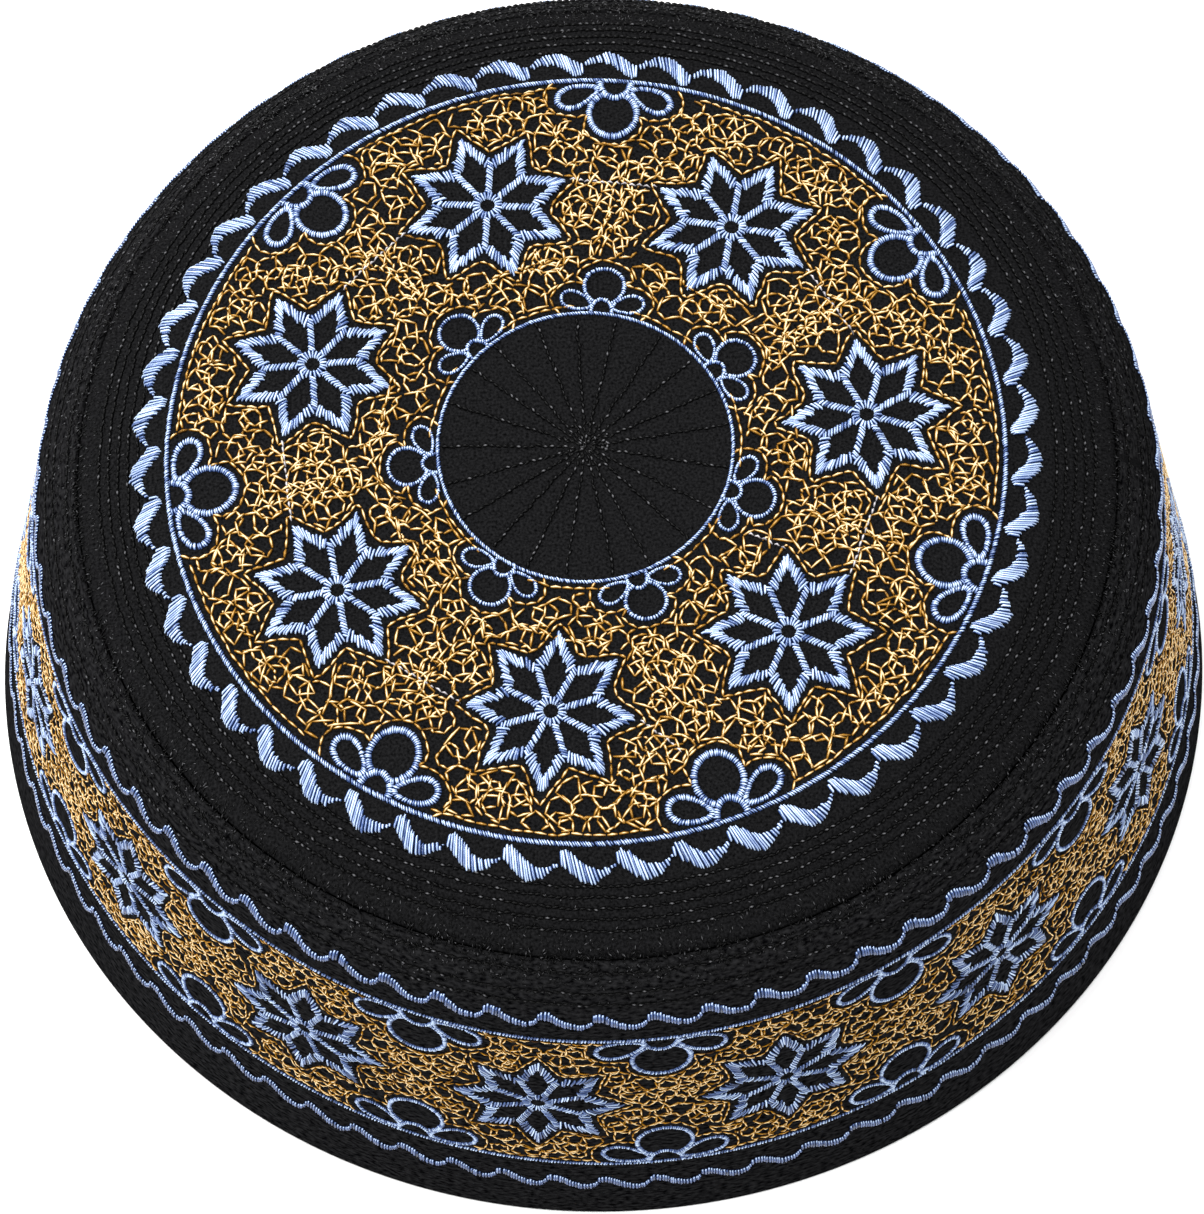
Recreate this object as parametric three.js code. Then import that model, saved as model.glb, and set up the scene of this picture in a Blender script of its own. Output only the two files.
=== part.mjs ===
// Kufi cap: a domed crown panel sewn over the turned-in top of a flared side band.
// Millimetres, +Z up. The origin is the middle of the rim's bottom face, and -Y is the front.
import * as THREE from 'three';

// Driving dimensions
const headCircumference = 580;   // inside the rim, an adult medium
const bandCloth = 2.7;           // thickness of the quilted band
const crownCloth = 2.4;          // thickness of the quilted crown
const crownHeight = 81;          // rim to the middle of the crown
const crownDrop = 8.4;           // middle of the crown down to the seam
const crownRoundness = 6;        // higher is flatter in the middle and rounder at the edge
const seamRadius = 78.3;
const shoulderRadius = 85.2;     // where the straight wall ends and the shoulder starts
const shoulderHeight = 62.5;
const shoulderSlope = 0.9;       // fall of the shoulder per mm outwards, just outside the seam
const rimOvalness = 0.014;       // the rim is this much longer along X and shorter along Y
const seamGap = 0.3;             // clearance between the two panels
const seamGroove = 1.1;          // depth of the sewn groove along the seam
const seamLap = 4;               // how far the band's edge runs in under the crown
const lapCloth = 1.3;            // thickness of that edge, pressed flat
const hemBevel = 0.6;            // soft edge of the folded hem
const hemHeight = 16;            // plain strip above the rim, below the frieze
const quiltDepth = 0.25;         // how far a row of quilting pulls the cloth in
const roundSegments = 72;
const grooveStart = 0.9;         // share of the shoulder's curve where it dips into the groove
const undersideStops = [0, 0.5, 0.77, 0.92, 1];   // shares of the crown's edge radius

// Rows of quilting that pull the cloth in, by radius on the crown and by height on the band
const crownQuilting = { first: 68.9, pitch: 1.5, rows: 5 };
const hemQuilting = { first: 1.7, pitch: 1.4, rows: 2 };

const rimRadius = headCircumference / (2 * Math.PI) + bandCloth;
const seamHeight = crownHeight - crownDrop;
const wallLean = (rimRadius - shoulderRadius) / shoulderHeight;

const crownSurface = (r) => crownHeight - crownDrop * (r / seamRadius) ** crownRoundness;
const wallRadius = (z) => rimRadius - wallLean * z;
const point = (r, z) => new THREE.Vector2(r, z);

// The places where rows of quilting dent a surface, with their dent
function quiltedStops({ first, pitch, rows }) {
  const stops = [];
  for (let row = 0; row < rows; row += 1) {
    stops.push({ at: first + (row - 0.5) * pitch, dent: 0 });
    stops.push({ at: first + row * pitch, dent: quiltDepth });
  }
  stops.push({ at: first + (rows - 0.5) * pitch, dent: 0 });
  return stops;
}

// Evenly spaced numbers from one value to another, both included
function spaced(from, to, steps) {
  return Array.from({ length: steps + 1 }, (_, i) => from + ((to - from) * i) / steps);
}

// The shoulder's curve from the top of the wall to the seam, tangent to both
function shoulderCurve() {
  const reach = shoulderRadius - seamRadius;
  const rise = seamHeight - shoulderHeight;
  const out = (reach - wallLean * rise) / (1 - wallLean * shoulderSlope);
  const corner = point(seamRadius + out, seamHeight - shoulderSlope * out);
  return new THREE.QuadraticBezierCurve(
    point(shoulderRadius, shoulderHeight), corner, point(seamRadius, seamHeight),
  );
}

// A curve's point moved in by a distance, towards the inside of the cap
function insetPoint(curve, t, distance) {
  const tangent = curve.getTangent(t);
  return curve.getPoint(t).add(point(-tangent.y, tangent.x).multiplyScalar(distance));
}

// Crown: out along the underside, up the sewn edge, and back in along the top
function crownProfile() {
  const edge = seamRadius - seamGap / 2;
  const flat = spaced(0, crownQuilting.first - crownQuilting.pitch / 2, 7).slice(0, -1);
  const top = flat.map((r) => point(r, crownSurface(r)));
  quiltedStops(crownQuilting).forEach(({ at, dent }) => top.push(point(at, crownSurface(at) - dent)));
  top.push(point(edge, crownSurface(edge) - seamGroove));
  const under = undersideStops.map((share) => {
    const r = share * edge;
    return point(r, crownSurface(r) - crownCloth);
  });
  return [...under, ...top.toReversed()];
}

// Band: up the outside, over the shoulder into the groove, in under the crown, and down the inside
function bandProfile() {
  const curve = shoulderCurve();
  const outside = [point(rimRadius - hemBevel, 0), point(rimRadius, hemBevel)];
  quiltedStops(hemQuilting).forEach(({ at, dent }) => outside.push(point(wallRadius(at) - dent, at)));
  spaced(hemHeight, shoulderHeight, 3).slice(0, -1).forEach((z) => outside.push(point(wallRadius(z), z)));
  spaced(0, grooveStart, 4).forEach((t) => outside.push(curve.getPoint(t)));

  const edge = seamRadius + seamGap / 2;
  const lapEnd = edge - seamLap;
  const lapTop = (r) => crownSurface(r) - crownCloth - seamGap;
  const lap = [
    point(edge, crownSurface(edge) - seamGroove),
    point(edge, lapTop(edge)),
    point(lapEnd, lapTop(lapEnd)),
    point(lapEnd, lapTop(lapEnd) - lapCloth),
  ];

  const inside = spaced(grooveStart, 0, 3).map((t) => insetPoint(curve, t, bandCloth));
  spaced(shoulderHeight, 0, 4).slice(1).forEach((z) => inside.push(point(wallRadius(z) - bandCloth, z)));
  return [...outside, ...lap, ...inside, outside[0]];
}

// Stretch the rim along X and narrow it along Y, less and less up to the seam
function makeOval(geometry) {
  const place = geometry.attributes.position;
  for (let i = 0; i < place.count; i += 1) {
    const x = place.getX(i);
    const y = place.getY(i);
    const fade = Math.max(0, 1 - place.getZ(i) / seamHeight);
    const stretch = 1 + rimOvalness * fade * Math.cos(2 * Math.atan2(y, x));
    place.setXY(i, x * stretch, y * stretch);
  }
  return geometry;
}

// A panel turned round the Z axis. Its profile runs up the outside and down the inside.
function turnedPanel(name, profile, color) {
  const geometry = new THREE.LatheGeometry(profile, roundSegments).rotateX(Math.PI / 2);
  const material = new THREE.MeshStandardMaterial({ color, roughness: 0.85, metalness: 0 });
  const mesh = new THREE.Mesh(makeOval(geometry), material);
  mesh.name = name;
  return mesh;
}

const cap = new THREE.Group();
cap.add(turnedPanel('crown_top', crownProfile(), 0x1c1c1e));
cap.add(turnedPanel('side_band', bandProfile(), 0x19191b));

export default cap;
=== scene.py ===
import math

import bpy
import numpy as np
from mathutils import Matrix, Vector


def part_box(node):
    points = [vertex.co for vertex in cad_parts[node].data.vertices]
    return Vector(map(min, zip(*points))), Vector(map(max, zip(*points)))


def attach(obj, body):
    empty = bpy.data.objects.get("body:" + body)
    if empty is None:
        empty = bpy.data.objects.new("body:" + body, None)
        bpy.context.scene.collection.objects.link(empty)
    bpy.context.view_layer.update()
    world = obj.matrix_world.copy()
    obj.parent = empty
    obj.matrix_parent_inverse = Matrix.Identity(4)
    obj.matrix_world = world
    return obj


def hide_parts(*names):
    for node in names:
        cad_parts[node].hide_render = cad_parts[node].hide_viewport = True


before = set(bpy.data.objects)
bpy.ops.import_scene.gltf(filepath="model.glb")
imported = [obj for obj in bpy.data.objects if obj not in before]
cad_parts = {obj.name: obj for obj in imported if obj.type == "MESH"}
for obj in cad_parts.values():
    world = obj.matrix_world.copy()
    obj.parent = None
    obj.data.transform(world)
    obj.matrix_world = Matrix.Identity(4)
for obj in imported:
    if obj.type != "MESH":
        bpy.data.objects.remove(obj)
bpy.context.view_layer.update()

mm = 0.001                     # patterns are drawn in millimetres, meshes are in metres
fullTurn = 2 * math.pi
dice = np.random.default_rng(41)

# form of the cap, as in the frame's two solids
capForm = {
    "crownDrop": 8.4,          # middle of the crown down to the seam
    "crownRoundness": 6,
    "seamGap": 0.3,
    "seamGroove": 0.5,         # depth of the sewn groove
    "shoulderRadius": 85.2,
    "shoulderHeight": 62.5,
    "shoulderSlope": 0.9,
    "rimOvalness": 0.014,
    "bandCloth": 2.7,
    "crownCloth": 2.4,
    "around": 400,             # mesh columns round the cap
}
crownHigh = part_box("crown_top")[1]
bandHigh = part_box("side_band")[1]
crownHeight = crownHigh.z / mm
seamRadius = crownHigh.x / mm + capForm["seamGap"] / 2
seamHeight = crownHeight - capForm["crownDrop"]
rimRadius = (bandHigh.x + bandHigh.y) / 2 / mm
wallLean = (rimRadius - capForm["shoulderRadius"]) / capForm["shoulderHeight"]


def crownRise(r):
    return crownHeight - capForm["crownDrop"] * (r / seamRadius) ** capForm["crownRoundness"]


def crownSpot(spots):          # x, y on the crown to a point on the cloth and its normal
    x, y = spots[..., 0], spots[..., 1]
    r = np.maximum(np.hypot(x, y), 1e-6)
    power = capForm["crownRoundness"]
    fall = capForm["crownDrop"] * power / seamRadius * (r / seamRadius) ** (power - 1)
    normal = np.stack([fall * x / r, fall * y / r, np.ones_like(r)], -1)
    return np.stack([x, y, crownRise(r)], -1), normal / np.linalg.norm(normal, axis=-1, keepdims=True)


def shoulderLine(steps=160):   # radius and height from the top of the wall over the shoulder to the seam
    reach = capForm["shoulderRadius"] - seamRadius
    rise = seamHeight - capForm["shoulderHeight"]
    out = (reach - wallLean * rise) / (1 - wallLean * capForm["shoulderSlope"])
    foot = np.array([capForm["shoulderRadius"], capForm["shoulderHeight"]])
    corner = np.array([seamRadius + out, seamHeight - capForm["shoulderSlope"] * out])
    head = np.array([seamRadius, seamHeight])
    t = np.linspace(0, 1, steps)[:, None]
    return (1 - t) ** 2 * foot + 2 * t * (1 - t) * corner + t ** 2 * head


shoulder = shoulderLine()
outerLine = np.vstack([[[rimRadius, 0.0]], shoulder])      # the band's outside, rim to seam


def bandRadius(z):
    return np.interp(z, outerLine[:, 1], outerLine[:, 0])


def rimStretch(angle, z):
    fade = np.clip(1 - z / seamHeight, 0, 1)
    return 1 + capForm["rimOvalness"] * fade * np.cos(2 * angle)


def bandSpot(spots):           # angle, height on the band to a point on the cloth and its normal
    angle, z = spots[..., 0], spots[..., 1]
    r = bandRadius(z) * rimStretch(angle, z)
    near = 0.2                 # millimetres above and below, between which the wall's lean is taken
    lean = (bandRadius(z + near) - bandRadius(z - near)) / (2 * near)
    normal = np.stack([np.cos(angle), np.sin(angle), -lean], -1)
    point = np.stack([r * np.cos(angle), r * np.sin(angle), z], -1)
    return point, normal / np.linalg.norm(normal, axis=-1, keepdims=True)


# mesh helpers
def meshPiece(name, points, quads, tris=()):
    quads = np.asarray(quads, np.int32).reshape(-1, 4)
    tris = np.asarray(tris, np.int32).reshape(-1, 3)
    mesh = bpy.data.meshes.new(name)
    mesh.vertices.add(len(points))
    mesh.vertices.foreach_set("co", (np.asarray(points) * mm).astype(np.float32).ravel())
    mesh.loops.add(quads.size + tris.size)
    mesh.loops.foreach_set("vertex_index", np.concatenate([quads.ravel(), tris.ravel()]))
    starts = np.concatenate([np.arange(len(quads)) * 4, quads.size + np.arange(len(tris)) * 3])
    mesh.polygons.add(len(starts))
    mesh.polygons.foreach_set("loop_start", starts.astype(np.int32))
    mesh.update(calc_edges=True)
    mesh.validate()
    mesh.shade_smooth()
    piece = bpy.data.objects.new(name, mesh)
    bpy.context.scene.collection.objects.link(piece)
    return piece


def dressPiece(piece, material, slot, *nodes):
    piece.data.materials.append(material)
    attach(piece, "root")
    if nodes:
        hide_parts(*nodes)
    return piece


def ringQuads(rows, columns, closed):      # quads between rings of a turned piece
    last = rows if closed else rows - 1
    row = np.arange(last)[:, None]
    column = np.arange(columns)[None, :]
    after = (column + 1) % columns
    up = (row + 1) % rows
    corners = [row * columns + column, row * columns + after, up * columns + after, up * columns + column]
    return np.stack(np.broadcast_arrays(*corners), -1).reshape(-1, 4)


def clothUv(piece, flat):      # where the weave lies, in millimetres, one pair for each vertex
    layer = piece.data.uv_layers.new(name="weave")
    index = np.zeros(len(piece.data.loops), np.int32)
    piece.data.loops.foreach_get("vertex_index", index)
    layer.data.foreach_set("uv", np.asarray(flat, np.float32)[index].ravel())


def pulledIn(distance, depth, width):      # dent that a row of stitches leaves in padded cloth
    return depth * np.exp(-(distance / width) ** 2)


def puffs(x, y, scale):        # slow unevenness of quilted cloth, from 0 to 1
    across = np.sin(x / scale + 1.3 * np.sin(y / scale * 0.7))
    along = np.cos(y / scale - 0.6 * np.sin(x / scale * 1.1))
    return 0.5 + 0.5 * across * along


# materials
def nodeTree(name):
    material = bpy.data.materials.new(name)
    material.use_nodes = True
    tree = material.node_tree
    shader = tree.nodes["Principled BSDF"]
    return material, tree, shader


def addNode(tree, kind, **inputs):
    node = tree.nodes.new(kind)
    for key, value in inputs.items():
        node.inputs[key].default_value = value
    return node


clothLook = {
    "dark": (0.0012, 0.0012, 0.0013, 1),
    "worn": (0.0104, 0.0104, 0.0110, 1),
    "roughness": 0.8,
    "gloss": 0.0,
    "grain": 2.4,              # grains of the weave in a millimetre
    "soft": 0.26,              # nearer a half gives a harder grain
    "detail": 2,
    "bump": 0.8,
    "relief": 0.0003,          # depth of the weave in metres
}
bandClothLook = dict(clothLook, grain=1.7, soft=0.33, dark=(0.0008, 0.0008, 0.0010, 1),
                     worn=(0.0131, 0.0131, 0.0138, 1))


def clothMaterial(name, look):
    material, tree, shader = nodeTree(name)
    link = tree.links.new
    uv = addNode(tree, "ShaderNodeUVMap")
    uv.uv_map = "weave"
    grain = addNode(tree, "ShaderNodeTexNoise", Scale=look["grain"], Detail=look["detail"])
    link(uv.outputs["UV"], grain.inputs["Vector"])
    spread = tree.nodes.new("ShaderNodeMapRange")
    spread.inputs["From Min"].default_value = look["soft"]
    spread.inputs["From Max"].default_value = 1 - look["soft"]
    link(grain.outputs["Fac"], spread.inputs["Value"])
    shade = tree.nodes.new("ShaderNodeMix")
    shade.data_type = "RGBA"
    shade.inputs["A"].default_value = look["dark"]
    shade.inputs["B"].default_value = look["worn"]
    link(spread.outputs["Result"], shade.inputs["Factor"])
    link(shade.outputs["Result"], shader.inputs["Base Color"])
    bump = addNode(tree, "ShaderNodeBump", Strength=look["bump"], Distance=look["relief"])
    link(grain.outputs["Fac"], bump.inputs["Height"])
    link(bump.outputs["Normal"], shader.inputs["Normal"])
    shader.inputs["Roughness"].default_value = look["roughness"]
    shader.inputs["Specular IOR Level"].default_value = look["gloss"]
    return material


def threadMaterial(name, look):            # a per-vertex level paints shade on each stitch's feet and ends, and a highlight along its ridge
    material, tree, shader = nodeTree(name)
    link = tree.links.new
    paintedLightLevel = addNode(tree, "ShaderNodeAttribute")
    paintedLightLevel.attribute_name = "paintedLightLevel"
    # ramp across each strand: painted shade at its foot, the deep colour at the turn, the thread's colour
    # with a painted highlight at its ridge
    ramp = tree.nodes.new("ShaderNodeValToRGB")
    ramp.color_ramp.elements[0].color = look["shade"]
    ramp.color_ramp.elements[1].color = look["ridgeHighlight"]
    ramp.color_ramp.elements.new(look["turn"]).color = look["deep"]
    link(paintedLightLevel.outputs["Fac"], ramp.inputs["Fac"])
    link(ramp.outputs["Color"], shader.inputs["Base Color"])
    shader.inputs["Roughness"].default_value = look["roughness"]
    shader.inputs["Specular IOR Level"].default_value = look["gloss"]
    shader.inputs["Specular Tint"].default_value = look["glint"]
    return material


blueLook = {
    "shade": (0.006, 0.009, 0.022, 1),     # painted shade at the foot of a strand
    "deep": (0.045, 0.085, 0.235, 1),
    "ridgeHighlight": (0.67, 0.82, 1.0, 1),        # the thread's colour with a painted highlight, on its ridge
    "turn": 0.35,              # higher leaves more of each strand in the deep colour
    "roughness": 0.24,
    "gloss": 0.6,
    "glint": (0.80, 0.90, 1.0, 1),
}
# the band's blue is the crown's thread, with its painted shade and highlight retuned for the light on the
# band
bandBlueLook = dict(blueLook, turn=0.38, gloss=0.45)
goldLook = {
    "shade": (0.020, 0.007, 0.0018, 1),
    "deep": (0.30, 0.143, 0.018, 1),
    "ridgeHighlight": (1.0, 0.85, 0.53, 1),
    "turn": 0.50,
    "roughness": 0.22,
    "gloss": 0.35,
    "glint": (1.0, 0.80, 0.45, 1),
}
# the band's gold is the crown's thread, with its painted shade and highlight retuned for the light on the
# band
bandGoldLook = dict(goldLook, deep=(0.34, 0.150, 0.006, 1), turn=0.47, gloss=0.08)
blackLook = {
    "shade": (0.0008, 0.0008, 0.0009, 1),
    "deep": (0.0010, 0.0010, 0.0011, 1),
    "ridgeHighlight": (0.118, 0.118, 0.125, 1),
    "turn": 0.34,
    "roughness": 0.5,
    "gloss": 0.1,
    "glint": (1, 1, 1, 1),
}
paleLook = {
    "shade": (0.03, 0.03, 0.03, 1),
    "deep": (0.10, 0.09, 0.10, 1),
    "ridgeHighlight": (0.62, 0.60, 0.62, 1),
    "turn": 0.1,
    "roughness": 0.45,
    "gloss": 0.4,
    "glint": (1, 1, 1, 1),
}

clothCrown = clothMaterial("black cloth of the crown", clothLook)
clothBand = clothMaterial("black cloth of the band", bandClothLook)
threadBlue = threadMaterial("light blue thread", blueLook)
threadGold = threadMaterial("golden thread", goldLook)
bandBlue = threadMaterial("light blue thread with the band's painted shading", bandBlueLook)
bandGold = threadMaterial("golden thread with the band's painted shading", bandGoldLook)
threadBlack = threadMaterial("black quilting thread", blackLook)
threadPale = threadMaterial("pale travel thread", paleLook)
print("materials made")


# stitches: each is a closed three-sided strand that leaves the cloth, lies on it and goes back in
satinShape = {
    "shares": (0, 0.14, 0.86, 1),          # places along a stitch
    "lifts": (-0.4, 1, 1, -0.4),           # height there, as a share of the loft
    "widths": (0.8, 1, 1, 0.8),
    # painted highlight at both ends of a satin stitch, painted shade along its middle
    "paintedLightLevels": (1.1, 0.76, 0.76, 1.1),
}
edgeShape = {"shares": (0, 0.2, 0.74, 1), "lifts": (-0.4, 0.8, 1.2, 0.6), "widths": (0.8, 0.95, 0.85, 0.5),
             "paintedLightLevels": (0.2, 0.38, 0.44, 1.9)}          # its far end stands proud and gets a painted highlight; the rest gets painted shade
# rope, running and net stitches: painted highlight in the middle, painted shade at the ends where they go
# into the cloth
ropeShape = {"shares": (0, 0.5, 1), "lifts": (-0.1, 1, -0.1), "widths": (0.85, 1, 0.85),
             "paintedLightLevels": (0.45, 1, 0.6)}
runShape = {"shares": (0, 0.5, 1), "lifts": (-0.35, 1, -0.35), "widths": (0.75, 1, 0.75),
            "paintedLightLevels": (0.15, 1, 0.15)}
netShape = dict(runShape, paintedLightLevels=(0.5, 1, 0.5))


def sewStitches(name, spot, stitches, thread, shape, material, slot):
    starts = np.concatenate([s[0] for s in stitches])
    ends = np.concatenate([s[1] for s in stitches])
    loft = np.concatenate([np.full(len(s[0]), s[2]) for s in stitches])
    count = len(starts)
    across = spot(ends)[0] - spot(starts)[0]
    across /= np.maximum(np.linalg.norm(across, axis=1, keepdims=True), 1e-9)
    half = thread["width"] / 2 * dice.uniform(0.9, 1.1, count)
    # tone: each stitch's level of painted light at its ridge, varied at random; sparkle gives some stitches
    # the full painted highlight
    tone = dice.normal(thread["tone"], thread["toneSpread"], count)
    tone[dice.random(count) < thread["sparkle"]] = 1.0
    points, paintedLightLevels = [], []
    for share, lift, wide, shade in zip(shape["shares"], shape["lifts"], shape["widths"], shape["paintedLightLevels"]):
        at, up = spot(starts + (ends - starts) * share)
        side = np.cross(up, across)
        side /= np.maximum(np.linalg.norm(side, axis=1, keepdims=True), 1e-9)
        rise = (lift * loft)[:, None] * up
        reach = (wide * half)[:, None]
        foot = at + rise - up * thread["sink"]
        points += [foot - side * reach, foot + side * reach, at + rise + up * reach * thread["round"]]
        # the feet get full painted shade, the ridge the stitch's painted light
        paintedLightLevels += [tone * 0, tone * 0, tone * shade]
    rings = len(shape["shares"])
    points = np.stack(points, 1).reshape(-1, 3)
    first = (np.arange(count) * rings * 3)[:, None]
    quads = []
    for ring in range(rings - 1):
        for corner in range(3):
            after = (corner + 1) % 3
            low, high = ring * 3, ring * 3 + 3
            quads.append(first + np.array([[low + corner, low + after, high + after, high + corner]]))
    top = rings * 3 - 3
    caps = np.concatenate([first + np.array([[2, 1, 0]]), first + np.array([[top, top + 1, top + 2]])])
    piece = meshPiece(name, points, np.concatenate(quads), caps)
    layer = piece.data.attributes.new("paintedLightLevel", "FLOAT", "POINT")
    layer.data.foreach_set("value", np.clip(np.stack(paintedLightLevels, 1).ravel(), 0, 1).astype(np.float32))
    dressPiece(piece, material, slot)
    print(name, count, "stitches", len(piece.data.polygons) * 2 - 2 * count, "triangles")
    return piece


def alongLine(line, t):        # points at shares t of a line given by evenly counted points
    at = np.clip(t, 0, 1) * (len(line) - 1)
    step = np.arange(len(line))
    return np.stack([np.interp(at, step, line[:, 0]), np.interp(at, step, line[:, 1])], 1)


def lineLength(line):
    return np.linalg.norm(np.diff(line, axis=0), axis=1).sum()


def satinStitches(edgeA, edgeB, pitch, loft, slant=0.0, ragged=0.05):
    middle = (edgeA + edgeB) / 2
    way = np.concatenate([[0], np.cumsum(np.linalg.norm(np.diff(middle, axis=0), axis=1))])
    count = max(2, round(way[-1] / pitch))
    t = (np.arange(count) + 0.5 + dice.normal(0, 0.12, count)) / count
    t = np.interp(t * way[-1], way, np.linspace(0, 1, len(way)))         # even steps along the middle
    starts = alongLine(edgeA, t - slant / 2)
    ends = alongLine(edgeB, t + slant / 2)
    span = ends - starts
    trim = dice.normal(0, ragged, (2, count))
    length = np.maximum(np.linalg.norm(span, axis=1), 1e-6)
    way = span / length[:, None]
    return starts - way * trim[0][:, None], ends + way * trim[1][:, None], loft


def polar(radius, angle):
    return np.stack([radius * np.cos(angle), radius * np.sin(angle)], -1)


def segment(a, b, steps=9):
    t = np.linspace(0, 1, steps)[:, None]
    return np.asarray(a) * (1 - t) + np.asarray(b) * t


# the eight-pointed star, on crown and band alike
starShape = {
    "points": 8,
    "tip": 12.8,               # outer point of the outline
    "notch": 8.1,              # outer corner between two points
    "petalTip": 10.3,          # outer end of the bare lozenge
    "petalSide": (6.6, 16.0),  # its widest place: distance from the middle, degrees off the point's axis
    "spokeHalf": 0.5,
    "spokeEnds": (0.3, 0.35),  # how far a spoke runs over the ring, and stops short of the notch
    "spokeShare": 0.85,        # its pitch and loft, next to the outline's
    "spokeSlant": 0.12,
    "ringInside": 1.1,
    "ringOutside": 2.35,
    "ringPitch": 0.5,
    "ringShare": 1.1,          # the ring's loft, next to the outline's
    "ragged": 0.19,            # unevenness of the outline
    "loft": 0.3,
}


def starStitches(turn, pitch):
    s = starShape
    step = fullTurn / s["points"]
    parts = []
    for k in range(s["points"]):
        axis = turn + k * step
        for hand in (-1, 1):
            sideR, sideA = s["petalSide"]
            inner = segment(polar(sideR, axis + hand * math.radians(sideA)), polar(s["petalTip"], axis))
            outer = segment(polar(s["notch"], axis + hand * step / 2), polar(s["tip"], axis))
            parts.append(satinStitches(inner, outer, pitch, s["loft"], ragged=s["ragged"]))
        spoke = axis + step / 2
        across = polar(s["spokeHalf"], spoke + math.pi / 2)
        over, short = s["spokeEnds"]
        root, end = polar(s["ringOutside"] - over, spoke), polar(s["notch"] - short, spoke)
        right, left = segment(root - across, end - across), segment(root + across, end + across)
        share = s["spokeShare"]
        parts.append(satinStitches(right, left, pitch * share, s["loft"] * share, slant=s["spokeSlant"]))
    ring = np.linspace(0, fullTurn, 25) + turn
    inside, outside = polar(s["ringInside"], ring), polar(s["ringOutside"], ring)
    parts.append(satinStitches(inside, outside, s["ringPitch"], s["loft"] * s["ringShare"]))
    return parts


# the three-petalled flower that grows from a line
flowerShape = {
    "petalMiddle": 6.5,        # big round petal: height of its middle, half width, half height
    "petalHalf": (4.75, 4.9),
    "petalSpan": (-68, 248),   # degrees from where it starts to where it ends
    "domeHalf": (3.05, 3.7),   # small half dome on the line
    "leafRoot": (2.2, 1.2),    # side leaf: root, tip and half width
    "leafTip": (9.9, 4.4),
    "leafHalf": 3.1,
    "leafFull": (0.5, 0.62, 0.12),         # how its width grows from root to tip
    "leafMiddle": 0.52,
    "leafShare": 0.9,          # loft of leaf and dome, next to the petal's
    "domeShare": 1.1,
    "trueHeight": 3.0,         # on a ring of the crown, widths are true at this height
    "pitch": 0.37,
    "loft": 0.3,
}


def leafLine(hand, inset, steps=33):
    f = flowerShape
    root = np.array([hand * f["leafRoot"][0], f["leafRoot"][1]])
    tip = np.array([hand * f["leafTip"][0], f["leafTip"][1]])
    length = np.linalg.norm(tip - root)
    way = (tip - root) / length
    side = np.array([-way[1], way[0]])
    t = np.linspace(0, fullTurn, steps)
    along = (1 - np.cos(t)) / 2
    least, more, less = f["leafFull"]
    full = least + more * along - less * along ** 2
    middle = root + way * length * f["leafMiddle"]
    shrink = np.array([1 - 2 * inset / length, 1 - inset / f["leafHalf"]])
    a = (along - f["leafMiddle"]) * length * shrink[0]
    b = np.sin(t) * f["leafHalf"] * full * shrink[1]
    return middle + a[:, None] * way + b[:, None] * side


def ovalLine(middle, halfX, halfY, first, last, steps=33):
    t = np.linspace(first, last, steps)
    return np.stack([middle[0] + halfX * np.cos(t), middle[1] + halfY * np.sin(t)], 1)


def flowerStitches(scale, stripe):
    f = flowerShape
    w = stripe / scale
    pitch = f["pitch"] / scale
    parts = []
    for hand in (-1, 1):
        parts.append(satinStitches(leafLine(hand, 0), leafLine(hand, w), pitch, f["loft"] * f["leafShare"]))
    first, last = (math.radians(end) for end in f["petalSpan"])
    middle = (0, f["petalMiddle"])
    halfX, halfY = f["petalHalf"]
    parts.append(satinStitches(ovalLine(middle, halfX - w, halfY - w, first, last),
                               ovalLine(middle, halfX, halfY, first, last), pitch, f["loft"]))
    domeX, domeY = f["domeHalf"]
    parts.append(satinStitches(ovalLine((0, 0), domeX - w, domeY - w, 0, math.pi),
                               ovalLine((0, 0), domeX, domeY, 0, math.pi), pitch, f["loft"] * f["domeShare"]))
    return [(a * scale, b * scale, loft) for a, b, loft in parts]


def moved(parts, place):       # the same stitches, put elsewhere by a function on their points
    return [(place(a), place(b), loft) for a, b, loft in parts]


# layout of the crown's medallion
medallion = {
    "shift": (-1.6, 0.0),      # the sewing sits a little off the middle
    "starShift": (-0.5, 0.0),  # and the stars a little off that
    "repeats": 7,
    "phase": -97.8,            # direction of the first star, degrees
    "starRing": 42.9,
    "starPitch": 0.55,         # millimetres from stitch to stitch
    "ringLine": 62.8,
    "innerLine": 22.1,
    "lineWidth": 0.7,
    "innerLineWidth": 0.5,
    "linePitch": 0.4,
    "lineSlant": 0.55,
    "lineLoft": 0.26,
    "scallops": 49,
    "scallopTurn": 2.65,       # degrees from the first star to the start of a scallop
    "scallopPitch": 0.5,
    "scallopRagged": 0.12,
    "scallopLoft": 0.32,
    "outerFlower": 0.92,
    "innerFlower": 0.67,
    "outerSeat": 0.3,          # from a line's middle to the foot of a flower
    "innerSeat": 0.2,
    "outerStripe": 1.06,       # width of the sewn outline
    "innerStripe": 0.6,
    "outerTurns": (0.6, -0.5, 1.4, 1.9, 0.0, -0.4, 2.0),       # degrees, outer flowers off their place
}
medallionStep = fullTurn / medallion["repeats"]
medallionFirst = math.radians(medallion["phase"])
medallionShift = np.array(medallion["shift"])
starShift = medallionShift + medallion["starShift"]
outerTurns = np.radians(medallion["outerTurns"])
blueThread = {"width": 0.58, "sink": 0.08, "round": 0.7, "tone": 0.95, "toneSpread": 0.22, "sparkle": 0.2}
lineThread = {"width": 0.46, "sink": 0.08, "round": 0.8, "tone": 0.85, "toneSpread": 0.26, "sparkle": 0.15}
blueRope = {"width": 0.55, "sink": 0.08, "round": 0.75, "tone": 0.88, "toneSpread": 0.22, "sparkle": 0.15}


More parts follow.
